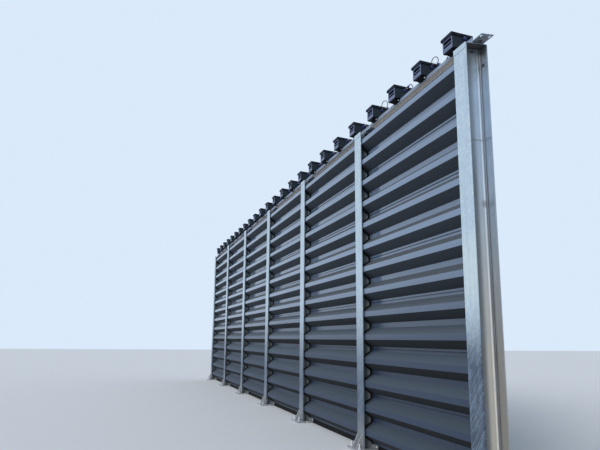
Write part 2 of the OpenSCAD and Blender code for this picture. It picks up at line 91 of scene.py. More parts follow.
# The point of its route that each coupler sits at, the mouths of the glands that the leads leave, and
# their routes from there
COUPLERS = {"jumper_1": 14, "jumper_2": 3, "jumper_3": 15}
MOUTHS = {
    "jumper_1": (6.7773, 0.020, 3.6982),
    "jumper_2": (6.1523, 0.020, 3.6982),
    "jumper_3": (5.5273, 0.020, 3.6982),
}
ROUTES = {
    "jumper_1": [
        (0, 0, 0), (0.024, 0.001, 0), (0.047, 0.007, 0), (0.067, 0.015, 0.009), (0.078, 0.018, 0.029),
        (0.076, 0.016, 0.052), (0.062, 0.008, 0.070), (0.042, -0.002, 0.074), (0.023, -0.011, 0.063),
        (0.014, -0.017, 0.042), (0.018, -0.016, 0.019), (0.034, -0.011, 0.003), (0.056, -0.002, 0),
        (0.077, 0.006, -0.006), (0.099, 0.010, -0.016), (0.121, 0.014, -0.026), (0.142, 0.014, -0.035),
        (0.165, 0.013, -0.041), (0.189, 0.012, -0.044), (0.213, 0.010, -0.045), (0.236, 0.009, -0.043),
        (0.259, 0.007, -0.038), (0.282, 0.005, -0.031), (0.305, 0.004, -0.023), (0.327, 0.002, -0.015),
        (0.349, 0.001, -0.007), (0.372, 0, -0.002), (0.396, 0, 0)],
    "jumper_2": [
        (0, 0, 0), (0.020, 0, 0.001), (0.041, 0, 0.007), (0.062, 0, 0.013), (0.083, 0, 0.019),
        (0.106, 0.001, 0.019), (0.128, 0.002, 0.010), (0.146, 0.003, -0.006), (0.158, 0.004, -0.027),
        (0.167, 0.004, -0.048), (0.176, 0.004, -0.068), (0.188, 0.004, -0.087), (0.205, 0.004, -0.101),
        (0.226, 0.002, -0.110), (0.248, 0.001, -0.113), (0.270, 0, -0.111), (0.292, 0, -0.105),
        (0.310, 0, -0.093), (0.325, 0, -0.076), (0.336, 0, -0.057), (0.345, 0, -0.036),
        (0.356, 0, -0.017), (0.374, 0, -0.003), (0.396, 0, 0)],
    "jumper_3": [
        (0, 0, 0), (0.025, 0.001, 0), (0.049, 0.008, 0), (0.071, 0.016, 0.009), (0.084, 0.021, 0.029),
        (0.085, 0.020, 0.054), (0.074, 0.014, 0.075), (0.054, 0.004, 0.086), (0.032, -0.007, 0.082),
        (0.015, -0.015, 0.066), (0.010, -0.019, 0.042), (0.018, -0.016, 0.018), (0.036, -0.010, 0.003),
        (0.059, 0, 0), (0.080, 0.009, -0.006), (0.102, 0.015, -0.016), (0.124, 0.021, -0.026),
        (0.146, 0.019, -0.040), (0.166, 0.015, -0.056), (0.185, 0.011, -0.071), (0.205, 0.009, -0.087),
        (0.226, 0.006, -0.101), (0.249, 0.004, -0.110), (0.273, 0.002, -0.111), (0.297, 0.001, -0.103),
        (0.317, 0.001, -0.088), (0.332, 0, -0.068), (0.344, 0, -0.046), (0.355, 0, -0.024),
        (0.372, 0, -0.005), (0.396, 0, 0)],
}

# Edges whose faces meet at more than this many degrees stay sharp
SHARP_ANGLE = 38

# Distance from one ring of a weld bead to the next
WELD_STEP = 0.006


def circle(middle, radius, side, up, count, turn=0.0):
    """Points round a middle, in the plane of two directions."""
    points = []
    for k in range(count):
        angle = turn + 2 * math.pi * k / count
        points.append(middle + radius * (math.cos(angle) * side + math.sin(angle) * up))
    return points


class Shape:
    """Faces of one piece, gathered from rings of points."""

    def __init__(self):
        self.points = []
        self.faces = []

    def rings(self, rings):
        """Joins rings of equal count and closes both ends."""
        first = len(self.points)
        count = len(rings[0])
        for ring in rings:
            self.points.extend(ring)
        for j in range(len(rings) - 1):
            for k in range(count):
                a = first + j * count + k
                b = first + j * count + (k + 1) % count
                self.faces.append((a, b, b + count, a + count))
        last = len(self.points) - count
        self.faces.append(tuple(first + k for k in reversed(range(count))))
        self.faces.append(tuple(last + k for k in range(count)))

    def turned(self, origin, axis, outline, sides, turn=0.0):
        """Turns (distance, radius) pairs round an axis that starts at an origin."""
        axis = Vector(axis).normalized()
        across = axis.orthogonal().normalized()
        other = axis.cross(across)
        rings = []
        for distance, radius in outline:
            middle = Vector(origin) + axis * distance
            rings.append(circle(middle, radius, across, other, sides, turn))
        self.rings(rings)

    def tube(self, places, radius, sides):
        """Sweeps a round section along (point, heading) pairs, none of which heads along the guide."""
        guide = Vector((0.44, -0.9, 0))
        rings = []
        for place, heading in places:
            side = heading.cross(guide).normalized()
            rings.append(circle(place, radius, side, heading.cross(side), sides))
        self.rings(rings)

    def bead(self, start, end, radius, seed):
        """Lays a weld bead of uneven width between two points."""
        start = Vector(start)
        run = Vector(end) - start
        count = max(4, int(run.length / WELD_STEP))
        heading = run.normalized()
        side = heading.orthogonal().normalized()
        up = heading.cross(side)
        rings = []
        for j in range(count + 1):
            size = radius * (1 + 0.16 * math.sin(2.3 * j + seed) + 0.09 * math.sin(5.1 * j + 2 * seed))
            rings.append(circle(start + run * j / count, size, side, up, 6))
        self.rings(rings)

    def piece(self, name, slot, look=None):
        """Makes the object, smooth but for its sharp edges, and lets it ride."""
        mesh = bpy.data.meshes.new(name)
        mesh.from_pydata([tuple(p) for p in self.points], [], self.faces)
        work = bmesh.new()
        work.from_mesh(mesh)
        bmesh.ops.recalc_face_normals(work, faces=work.faces)
        work.to_mesh(mesh)
        work.free()
        mesh.shade_smooth()
        mesh.set_sharp_from_angle(angle=math.radians(SHARP_ANGLE))
        mesh.materials.append(LOOKS[look or slot])
        made = bpy.data.objects.new(name, mesh)
        bpy.context.scene.collection.objects.link(made)
        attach(made, "root")
        return made


def boot(shape, mouth, axis):
    """Ribbed strain relief that tapers along a lead from a gland's mouth."""
    outline = [(-0.001, 0.0074), (0.002, 0.0076)]
    for k in range(4):
        start = 0.0035 + 0.0045 * k
        radius = 0.0074 - 0.0006 * k
        outline += [(start, radius), (start + 0.0010, radius - 0.0011),
                    (start + 0.0025, radius - 0.0011), (start + 0.0035, radius - 0.0002)]
    outline.append((0.022, 0.0045))
    shape.turned(mouth, axis, outline, 16)


def coupler(shape, middle, axis):
    """Shell of a cable coupler with grip ribs, round its middle."""
    outline = [(-0.0160, 0.0066), (-0.0155, 0.0085), (-0.0142, 0.0104), (-0.0110, 0.0108)]
    for k in range(5):
        start = -0.0100 + 0.0042 * k
        outline += [(start, 0.0108), (start + 0.0008, 0.0102),
                    (start + 0.0016, 0.0102), (start + 0.0024, 0.0108)]
    outline += [(0.0110, 0.0108), (0.0142, 0.0104), (0.0155, 0.0085), (0.0160, 0.0066)]
    shape.turned(middle, axis, outline, 20)


def smooth(route):
    """Points along one smooth curve through a route that starts and ends along X."""
    points = [Vector(p) for p in route]
    headings = [Vector((1, 0, 0))]
    for before, here, after in zip(points, points[1:], points[2:]):
        headings.append(((here - before).normalized() + (after - here).normalized()).normalized())
    headings.append(Vector((1, 0, 0)))
    line = [points[0]]
    for k in range(len(points) - 1):
        reach = (points[k + 1] - points[k]).length / 3
        knot = points[k] + reach * headings[k]
        next_knot = points[k + 1] - reach * headings[k + 1]
        line.extend(interpolate_bezier(points[k], knot, next_knot, points[k + 1], LEAD_STEPS + 1)[1:])
    return line


def length_of(line):
    """Length of a line of points."""
    return sum((after - here).length for here, after in zip(line, line[1:]))


def place_at(line, distance):
    """Point at a distance along a line, and the line's heading there."""
    for here, after in zip(line, line[1:]):
        step = (after - here).length
        if distance <= step:
            return here + (after - here) * distance / step, (after - here) / step
        distance -= step
    return line[-1], (line[-1] - line[-2]).normalized()


def lay_leads():
    for name, route in ROUTES.items():
        line = [Vector(MOUTHS[name]) + p for p in smooth(route)]
        data = bpy.data.curves.new(name + "_lead", "CURVE")
        data.dimensions = "3D"
        data.bevel_depth = LEAD_DIAMETER / 2
        data.bevel_resolution = 4
        data.use_fill_caps = True
        spline = data.splines.new("POLY")
        spline.points.add(len(line) - 1)
        for point, place in zip(spline.points, line):
            point.co = (*place, 1)
        lead = bpy.data.objects.new(name + "_lead", data)
        bpy.context.scene.collection.objects.link(lead)
        data.materials.append(LOOKS["lead_jacket"])
        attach(lead, "root")
        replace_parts(lead, name)
        middle = length_of(line[:LEAD_STEPS * COUPLERS[name] + 1])
        boots = Shape()
        boot(boots, line[0], Vector((1, 0, 0)))
        boot(boots, line[-1], Vector((-1, 0, 0)))
        shell = Shape()
        coupler(shell, *place_at(line, middle))
        wrap = Shape()
        for start in SLEEVE_STARTS:
            places = [place_at(line, middle + start + SLEEVE_LENGTH * k / 6) for k in range(7)]
            wrap.tube(places, SLEEVE_RADIUS, 16)
        pieces = [boots.piece(name + "_boots", "black_rubber"),
                  shell.piece(name + "_coupler_shell", "coupler_plastic"),
                  wrap.piece(name + "_sleeves", "coupler_plastic", "sleeve")]
        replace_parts(pieces[1], name + "_coupler")


# Sockets of a Mix node that blends colours
MIX_A = 6
MIX_B = 7
MIX_RESULT = 2


class Nodes:
    """A short way to write a material's node tree."""

    def __init__(self, name):
        self.material = bpy.data.materials.new(name)
        self.material.use_nodes = True
        self.tree = self.material.node_tree
        self.shader = self.tree.nodes["Principled BSDF"]
        source = self.add("ShaderNodeTexCoord")
        self.place = source.outputs["Object"]
        self.normal = source.outputs["Normal"]

    def add(self, kind, **settings):
        """Adds a node and sets its properties."""
        node = self.tree.nodes.new(kind)
        for key, value in settings.items():
            setattr(node, key, value)
        return node

    def put(self, socket, value):
        """Links a socket, or sets its value."""
        if isinstance(value, bpy.types.NodeSocket):
            self.tree.links.new(value, socket)
        else:
            socket.default_value = value

    def stretch(self, scale, turn=(0, 0, 0)):
        """Turns the place, then multiplies it. A scale of 0 leaves that direction out."""
        node = self.add("ShaderNodeMapping", vector_type="TEXTURE")
        self.put(node.inputs["Vector"], self.place)
        node.inputs["Scale"].default_value = [1 / k if k else 1e6 for k in scale]
        node.inputs["Rotation"].default_value = turn
        return node.outputs["Vector"]

    def noise(self, scale, detail=3.0, rough=0.55, vector=None):
        """Cloudy pattern from 0 to 1."""
        node = self.add("ShaderNodeTexNoise")
        self.put(node.inputs["Vector"], vector or self.place)
        node.inputs["Scale"].default_value = scale
        node.inputs["Detail"].default_value = detail
        node.inputs["Roughness"].default_value = rough
        return node.outputs["Fac"]

    def cells(self, scale):
        """Cells, each of a colour of its own."""
        node = self.add("ShaderNodeTexVoronoi")
        self.put(node.inputs["Vector"], self.place)
        node.inputs["Scale"].default_value = scale
        return node.outputs["Color"]

    def ramp(self, value, low, high, to_low=0.0, to_high=1.0):
        """Smooth step from one value to another as the input goes from low to high."""
        node = self.add("ShaderNodeMapRange", interpolation_type="SMOOTHSTEP")
        self.put(node.inputs["Value"], value)
        node.inputs["From Min"].default_value = low
        node.inputs["From Max"].default_value = high
        node.inputs["To Min"].default_value = to_low
        node.inputs["To Max"].default_value = to_high
        return node.outputs["Result"]

    def facing(self, name, low, high, to_low=0.0, to_high=1.0):
        """Smooth step as the surface turns along an axis."""
        return self.ramp(self.axis(name, self.normal), low, high, to_low, to_high)

    def reckon(self, how, a, b=0.0):
        """One step of arithmetic."""
        node = self.add("ShaderNodeMath", operation=how)
        self.put(node.inputs[0], a)
        self.put(node.inputs[1], b)
        return node.outputs[0]

    def plus(self, a, b):
        return self.reckon("ADD", a, b)

    def times(self, a, b):
        return self.reckon("MULTIPLY", a, b)

    def most(self, a, b):
        return self.reckon("MAXIMUM", a, b)

    def apart(self, value, middle=0.0):
        """How far a value is from a middle, on either side."""
        if middle:
            value = self.reckon("SUBTRACT", value, middle)
        return self.reckon("ABSOLUTE", value)

    def away(self, centre):
        """Distance from a centre, as seen along the wall."""
        node = self.add("ShaderNodeVectorMath", operation="DISTANCE")
        self.put(node.inputs[0], self.stretch((0, 1, 1)))
        node.inputs[1].default_value = centre
        return node.outputs["Value"]

    def mix(self, factor, a, b, how="MIX"):
        """Blends two colours."""
        node = self.add("ShaderNodeMix", data_type="RGBA", blend_type=how)
        self.put(node.inputs["Factor"], factor)
        for key, value in ((MIX_A, a), (MIX_B, b)):
            self.put(node.inputs[key], value if isinstance(value, bpy.types.NodeSocket) else (*value, 1))
        return node.outputs[MIX_RESULT]

    def axis(self, name, of=None):
        """One coordinate of the place, or of another vector."""
        node = self.add("ShaderNodeSeparateXYZ")
        self.put(node.inputs[0], of or self.place)
        return node.outputs[name]

    def bevel(self, radius):
        """Surface direction with edges rounded."""
        node = self.add("ShaderNodeBevel", samples=4)
        node.inputs["Radius"].default_value = radius
        return node.outputs["Normal"]

    def bump(self, height, strength, distance, normal=None):
        """Surface direction with small relief."""
        node = self.add("ShaderNodeBump")
        node.inputs["Strength"].default_value = strength
        node.inputs["Distance"].default_value = distance
        self.put(node.inputs["Height"], height)
        if normal:
            self.put(node.inputs["Normal"], normal)
        return node.outputs["Normal"]

    def finish(self, colour, roughness, normal=None, metallic=0.0, **settings):
        """Fills the shader in and gives the material."""
        self.put(self.shader.inputs["Base Color"], colour)
        self.put(self.shader.inputs["Roughness"], roughness)
        self.shader.inputs["Metallic"].default_value = metallic
        for key, value in settings.items():
            self.shader.inputs[key].default_value = value
        if normal:
            self.put(self.shader.inputs["Normal"], normal)
        return self.material


# Another shade starts, and is whole, where a face turns this far against an axis
AGAINST = (-0.4, -0.8)

# Spans that the looks change over, in metres: behind the posts' front flange, up the posts, up through
# the painted shade low on the panels, and from front to back under the tray
BEHIND_FLANGE = (-0.0885, -0.0875)
POST_RISE = (0.3, 3.2)
PANEL_SHADE_RISE = (0.95, 2.15)
TRAY_DEPTH = (-0.026, 0.018)

# Marks on the near post's web, in metres
LIFTING_HOLE = (0, 0.012, 3.525)
RING_CENTRE = (0, -0.096, 3.381)
RING_RADIUS = 0.162
BAND_HEIGHT = 2.752
SMUDGE_CENTRE = (0, 0.060, 2.222)

# Lines painted along the posts' webs, as distances from the wall's middle: a highlight and a shadow line
HIGHLIGHT_PLACE = 0.060
ROOT_PLACE = 0.082


def grey_paint(name, colour_a, colour_b, rough_a, rough_b, front=None, gloss=0.5):
    """Plain paint or plastic with dust, and a painted tone for the light on faces turned to the road."""
    n = Nodes(name)
    dust = n.noise(22, 5, 0.6)
    grain = n.noise(900, 2, 0.5)
    colour = n.mix(n.ramp(dust, 0.35, 0.7), colour_a, colour_b)
    # Painted light: another tone where the face turns to the road
    if front:
        colour = n.mix(n.facing("Y", *AGAINST), colour, front)
    rough = n.plus(n.ramp(dust, 0.3, 0.7, rough_a, rough_b), n.facing("Z", -0.5, -0.9, 0, 0.3))
    return n.finish(colour, rough, n.bump(grain, 0.1, 0.0004), **{"Specular IOR Level": gloss})


def zinc(name, coat, below=None, metallic=0.35, inner=None):
    """Zinc coat, cloudy with runs down the steel, and painted light below that may change inward."""
    n = Nodes(name)
    pale, dull, dark = coat
    clouds = n.noise(9, 5, 0.6)
    runs = n.noise(16, 4, 0.6, n.stretch((1, 1, 0.06)))
    colour = n.mix(n.ramp(clouds, 0.35, 0.65), pale, dull)
    colour = n.mix(n.ramp(runs, 0.52, 0.72, 0, 0.4), colour, dark)
    # Painted light and shade below: a tone for what reaches faces underneath, lighter inward under the
    # trays
    if inner:
        below = n.mix(n.ramp(n.axis("Y"), *TRAY_DEPTH), below, inner)
    if below:
        colour = n.mix(n.facing("Z", *AGAINST), colour, below)
    colour = n.mix(0.03, colour, n.cells(120), "OVERLAY")
    rough = n.ramp(clouds, 0.3, 0.7, 0.4, 0.55)
    relief = n.times(runs, n.facing("Z", *AGAINST, 1.0, 0.0))
    return n.finish(colour, rough, n.bump(relief, 0.08, 0.002), metallic)


def zinc_post(name, shade=0.3, marks=False):
    """Zinc coat of the posts: brushed faces, with painted sky light, painted shade and painted highlights.
    """
    n = Nodes(name)
    height = n.axis("Z")
    across = n.axis("Y")
    inward = n.apart(across)
    sideways = n.apart(n.axis("X", n.normal))
    side = n.ramp(sideways, 0.5, 0.8)
    rise = n.ramp(height, *POST_RISE)
    clouds = n.noise(5, 5, 0.62)
    runs = n.noise(11, 4, 0.6, n.stretch((1, 1, 0.05)))
    strokes = n.noise(85, 4, 0.7, n.stretch((1, 0.3, 0.08), (0, math.radians(40), 0)))
    drawn = n.noise(24, 4, 0.65, n.stretch((1, 0.3, 0.04)))
    mottle = n.noise(34, 4, 0.7)

    # Front flange: painted sky light, fading to painted shade low down
    sky_lit = n.ramp(height, 0.95, 1.45) if marks else n.ramp(height, 0.5, 1.9)
    front = n.mix(sky_lit, (0.030, 0.048, 0.082), (0.43, 0.53, 0.61))
    front = n.mix(n.ramp(height, 0.45, 0.15), front, (0.18, 0.19, 0.20))
    if marks:
        patch = n.times(n.ramp(height, 1.35, 1.60, 0, 0.6), n.ramp(height, 2.10, 1.80))
        front = n.mix(patch, front, (0.62, 0.70, 0.69))
    scratch = n.mix(sky_lit, (0.16, 0.215, 0.30), (0.34, 0.41, 0.50))
    front = n.mix(n.ramp(drawn, 0.42, 0.66, 0, 0.3), front, scratch)
    brushed = n.times(n.ramp(strokes, 0.49, 0.60, 0, 0.8), n.ramp(height, 1.5, 1.2))
    front = n.mix(brushed, front, scratch)
    faded = n.times(n.ramp(mottle, 0.44, 0.70, 0, 0.40), n.ramp(height, 0.9, 1.4))
    front = n.mix(faded, front, (0.70, 0.77, 0.76))

    # Web and rear flange: blue up high and warm low down as painted sky and ground light, and painted
    # shade behind the front flange
    web = n.mix(rise, (0.58, 0.53, 0.44), (0.38, 0.48, 0.59))
    flange_shadow = n.times(n.ramp(across, 0.030, -0.015), n.ramp(height, 2.3, 3.0, 0.80, 0.50))
    web = n.mix(flange_shadow, web, (0.10, 0.11, 0.115))
    # Painted shade over the inner posts' webs, which keep only part of their own tone
    web = n.mix(1 - shade, web, (0.18, 0.235, 0.26))
    inside = n.times(side, n.ramp(inward, 0.0885, 0.0875))
    colour = n.mix(inside, front, web)
    rear = n.mix(rise, (0.35, 0.325, 0.29), (0.31, 0.40, 0.51))
    colour = n.mix(n.ramp(across, 0.05, 0.08), colour, rear)

    # Gussets and base plate
    gusset = n.times(n.ramp(inward, 0.1003, 0.1008), n.ramp(height, 0.17, 0.16))
    foot = n.most(gusset, n.ramp(height, 0.021, 0.0195))
    colour = n.mix(foot, colour, (0.34, 0.35, 0.36))

    # Painted highlight along the web, where its fillet catches the sky, and a painted shadow line at its
    # root
    fillet_highlight = n.ramp(n.apart(inward, HIGHLIGHT_PLACE), 0.0085, 0.0045)
    pale = n.mix(rise, (0.95, 0.92, 0.84), (0.74, 0.80, 0.86))
    colour = n.mix(n.times(fillet_highlight, side), colour, pale)
    root = n.ramp(n.apart(inward, ROOT_PLACE), 0.011, 0.006, 0, 0.8)
    colour = n.mix(n.times(root, n.ramp(sideways, 0.02, 0.08)), colour, (0.07, 0.075, 0.08))

    # Painted shade under the head, then clouds and runs
    behind = n.ramp(across, *BEHIND_FLANGE)
    head_shade = n.times(n.times(n.ramp(height, 3.18, 3.52), behind), n.ramp(clouds, 0.2, 0.6, 0.4, 0.8))
    colour = n.mix(head_shade, colour, (0.10, 0.095, 0.085))
    colour = n.mix(n.ramp(clouds, 0.40, 0.72, 0, 0.2), colour, (0.30, 0.36, 0.42))
    colour = n.mix(n.ramp(runs, 0.55, 0.75, 0, 0.2), colour, (0.20, 0.22, 0.24))

    # Marks on the web: a dark spot at the lifting hole, a scratched ring, a band and a smudge
    if marks:
        reach = n.plus(n.away(LIFTING_HOLE), n.ramp(clouds, 0.3, 0.7, 0.0, 0.008))
        colour = n.mix(n.ramp(reach, 0.024, 0.012), colour, (0.03, 0.03, 0.032))
        ring = n.ramp(n.apart(n.away(RING_CENTRE), RING_RADIUS), 0.0030, 0.0010)
        ring = n.times(ring, n.ramp(across, -0.045, -0.02))
        band = n.ramp(n.apart(height, BAND_HEIGHT), 0.014, 0.002, 0, 0.8)
        reach = n.plus(n.away(SMUDGE_CENTRE), n.ramp(clouds, 0.2, 0.8, 0.0, 0.02))
        mark = n.most(n.most(ring, band), n.ramp(reach, 0.055, 0.02))
        colour = n.mix(n.times(n.times(mark, behind), 0.55), colour, (0.10, 0.11, 0.12))

    colour = n.mix(0.06, colour, n.cells(150), "OVERLAY")
    rough = n.ramp(clouds, 0.3, 0.7, 0.34, 0.48)
    return n.finish(colour, rough, n.bump(strokes, 0.08, 0.002, n.bevel(0.006)), metallic=0.35)


def panel_paint():
    """Glossy slate paint with smears; dust and road dirt in its gloss; painted light and shade in its
    tones.
    """
    n = Nodes("panel_paint_look")
    height = n.axis("Z")
    above = n.ramp(height, *PANEL_SHADE_RISE)
    sky_lit = n.most(above, n.facing("Y", 0.2, 0.5, 0, 0.8))
    dust = n.noise(3, 5, 0.6, n.stretch((0.12, 1, 2)))
    smears = n.noise(4, 5, 0.62, n.stretch((0.12, 1, 3)))
    wave = n.noise(1.6, 2, 0.5, n.stretch((1, 1, 3)))
    shelf = n.facing("Z", 0.3, 0.7)

    # Faces to the road: painted sky light up high, painted shade low down and in the valleys behind them
    colour = n.mix(sky_lit, (0.014, 0.028, 0.060), (0.150, 0.205, 0.300))
    colour = n.mix(n.ramp(n.axis("Y"), 0.0, 0.04, 0, 0.45), colour, (0.026, 0.032, 0.042))
    smear = n.mix(sky_lit, (0.02, 0.03, 0.04), (0.10, 0.13, 0.17))
    colour = n.mix(n.ramp(smears, 0.45, 0.75, 0, 0.25), colour, smear)

    # Slopes that face up, and those that face down, in tones painted for the light that each gets
    ledge = n.mix(above, (0.042, 0.060, 0.083), (0.080, 0.090, 0.100))
    ledge = n.mix(n.ramp(height, 0.9, 0.4, 0, 0.35), ledge, (0.012, 0.020, 0.034))
    colour = n.mix(shelf, colour, ledge)
    under = n.mix(sky_lit, (0.008, 0.012, 0.016), (0.026, 0.036, 0.050))
    colour = n.mix(n.facing("Z", -0.3, -0.7), colour, under)

    rough = n.plus(n.ramp(dust, 0.3, 0.8, 0.08, 0.16), n.facing("Z", -0.3, -0.7, 0, 0.7))
    rough = n.plus(rough, n.ramp(height, 1.9, 0.6, 0, 0.45))
    rough = n.plus(rough, n.times(shelf, 0.25))
    relief = n.bump(wave, 0.03, 0.02, n.bevel(0.005))
    return n.finish(colour, rough, relief, **{"Specular IOR Level": 0.45})


# Zinc coats: pale, dull and dark shades. The steel and tray coats are tinted blue as a painted sky
# reflection, and the cap's pale beige is painted light that lifts it out of its shade under the tray
STEEL_COAT = ((0.33, 0.41, 0.52), (0.27, 0.34, 0.44), (0.20, 0.25, 0.31))
TRAY_COAT = ((0.200, 0.255, 0.345), (0.165, 0.210, 0.295), (0.12, 0.155, 0.21))
CAP_COAT = ((0.68, 0.66, 0.62), (0.61, 0.59, 0.56), (0.52, 0.50, 0.47))
BRIGHT_COAT = ((0.62, 0.64, 0.66), (0.52, 0.54, 0.56), (0.36, 0.36, 0.36))

LOOKS = {
    "galvanised_post": zinc_post("zinc_post"),
    "near_post": zinc_post("zinc_near_post", 1.0, True),
    # Painted light under the trays: warm, lighter inward against the shade, and lighter on the near tray
    "galvanised_tray": zinc("zinc_tray", TRAY_COAT, (0.52, 0.47, 0.44), 0.0, (0.70, 0.63, 0.58)),
    "near_tray": zinc("zinc_near_tray", TRAY_COAT, (0.69, 0.61, 0.55), 0.0, (0.89, 0.79, 0.71)),
    # Under the brackets and end covers: darker tones, painted shade
    "bracket_zinc": zinc("zinc_bracket", STEEL_COAT, (0.24, 0.26, 0.29)),
    "cover_zinc": zinc("zinc_cover", STEEL_COAT, (0.11, 0.108, 0.104)),
    "cap_sheet": zinc("cap_sheet_look", CAP_COAT),
    "panel_paint": panel_paint(),
    "black_rubber": grey_paint("rubber_look", (0.004, 0.004, 0.005), (0.008, 0.008, 0.009), 0.6, 0.8,
                               gloss=0.08),
    # Near black: the brackets' own dark paint, and painted shade on the plate under each box
    "bracket_paint": grey_paint("bracket_look", (0.004, 0.005, 0.007), (0.007, 0.008, 0.011), 0.4, 0.6,
                                gloss=0.12),
    # The boxes' faces to the road are a lighter blue: a painted sky reflection
    "box_paint": grey_paint("box_look", (0.015, 0.022, 0.031), (0.020, 0.028, 0.038), 0.28, 0.42,
                            (0.11, 0.135, 0.22), 0.12),
    # The lids' faces to the road are darker: painted shade
    "lid_paint": grey_paint("lid_look", (0.010, 0.014, 0.022), (0.015, 0.019, 0.028), 0.32, 0.46,
                            (0.008, 0.012, 0.024), 0.06),
    "gland_plastic": grey_paint("gland_look", (0.012, 0.026, 0.11), (0.016, 0.034, 0.13), 0.3, 0.45),
    "coupler_plastic": grey_paint("coupler_look", (0.010, 0.026, 0.16), (0.014, 0.034, 0.20), 0.3, 0.4),
    "lead_jacket": grey_paint("lead_look", (0.008, 0.009, 0.012), (0.014, 0.015, 0.018), 0.4, 0.55),
    "sleeve": grey_paint("sleeve_look", (0.62, 0.52, 0.50), (0.70, 0.62, 0.60), 0.4, 0.55),
    "bright_zinc": zinc("bright_zinc", BRIGHT_COAT),
    "dull_steel": grey_paint("dull_steel_look", (0.045, 0.042, 0.042), (0.085, 0.080, 0.078), 0.5, 0.65),
    "rust": grey_paint("rust_look", (0.035, 0.014, 0.010), (0.070, 0.036, 0.026), 0.6, 0.8),
}

# Nodes whose look differs from that of their slot
OWN_LOOKS = {
    "post_1": "near_post",
    "box_lids": "lid_paint",
    "tray_brackets": "bracket_zinc",
    "end_covers": "cover_zinc",
    "cable_tray_bay_1": "near_tray",
}


def dress_nodes():
    """Gives every solid of the frame its look."""
    slot_of = {}
    for part in frame["record"]["subparts"]:
        slot_of[part["node"]] = part["material_slot"]
    for name, node in frame["nodes"].items():
        for slot in node.material_slots:
            slot.material = LOOKS[OWN_LOOKS.get(name, slot_of[name])]


# Places of the posts and boxes, in metres
BAY = 2.5
BAYS = 6
POSTS = [7.5 - BAY * k for k in range(BAYS + 1)]
BOXES_IN_BAY = 4
FIRST_BOX = 0.212
BOX_STEP = 0.625
BOXES = [post - FIRST_BOX - BOX_STEP * i for post in POSTS[:-1] for i in range(BOXES_IN_BAY)]

# Feet: anchor bolts from the post's middle, top of the base plate, gussets and the beads' radius
ANCHOR_SIDE = 0.125
ANCHOR_ACROSS = 0.16
PLATE_TOP = 0.0201
WASHER = 0.004
GUSSET_SIDE = 0.06
GUSSET_HALF = 0.006
GUSSET_WELD = 0.0032
PLATE_WELD = 0.004

# Glands: their middle, how far a box's side is from its middle, the mouth from the side, and the next
# box's mouth from this one
GLAND_Y = 0.020
GLAND_Z = 3.6982
BOX_SIDE = 0.088
MOUTH = 0.0263
NEXT_MOUTH = 0.3964

# Lids: height of the top at its front edge, how far it falls over its depth, and the screws
LID_TOP = 3.7513
LID_FRONT = -0.094
LID_FALL = 0.021
LID_DEPTH = 0.190
SCREW_SIDE = 0.079
SCREWS_ACROSS = (-0.074, 0.072)

# Bolts under the boxes: distance from the box's middle, place across and height
BOX_BOLT = (0.0592, -0.042, 3.5985)

# Trays: top of the floor, how far joints and the last end are from a post, bolts and slots. The end
# posts have only the bolts that are nearer than one distance or farther than the other
TRAY_FLOOR = 3.5803
TRAY_JOINT = 0.095
TRAY_END = 0.1
TRAY_BOLTS_ALONG = (-0.070, 0.070, 0.160)
TRAY_BOLTS_ACROSS = (-0.008, 0.060)
FIRST_POST_MOST = 0.08
LAST_POST_LEAST = 0.1
SLOT_HALF = 0.0074
SLOT_STEP = 0.25
SLOTS = 10
SLOTS_ACROSS = (-0.010, 0.062)

# The near bracket's spare hole, and the way of the black bead along the dark gap under the near head
SPARE_HOLE = (7.626, 0.026, 3.5764)
HEAD_GAP_BEAD_RADIUS = 0.0019
HEAD_GAP_BEAD = (
    (7.5055, -0.062, 3.5518),
    (7.5055, 0.066, 3.5518),
    (7.5085, 0.080, 3.5518),
    (7.5200, 0.0865, 3.5518),
    (7.5980, 0.0865, 3.5518),
)

# Holes in the rear flanges of the end posts, and the flange's two faces
FLANGE_HOLE_X = 0.046
FLANGE_HOLES = (3.505, 3.393)
FLANGE_INSIDE = 0.0878
FLANGE_OUTSIDE = 0.1002

# Panels: the sheet's corners over one corrugation, as place across and height, and the rubber lips that
# follow them at each post
PANEL_BASE = 0.060
PITCH = 0.250
CORRUGATIONS = 14
PROFILE = ((0.020, 0.0255), (-0.080, 0.0985), (-0.080, 0.1535), (0.020, 0.2245))
LIP_PLACE = 0.0442
LIP_WIDTH = 0.010
LIP_HEIGHT = 0.016
LIP_FRONT = -0.0872
LIP_GAP = 0.0002
LIP_END = 0.006


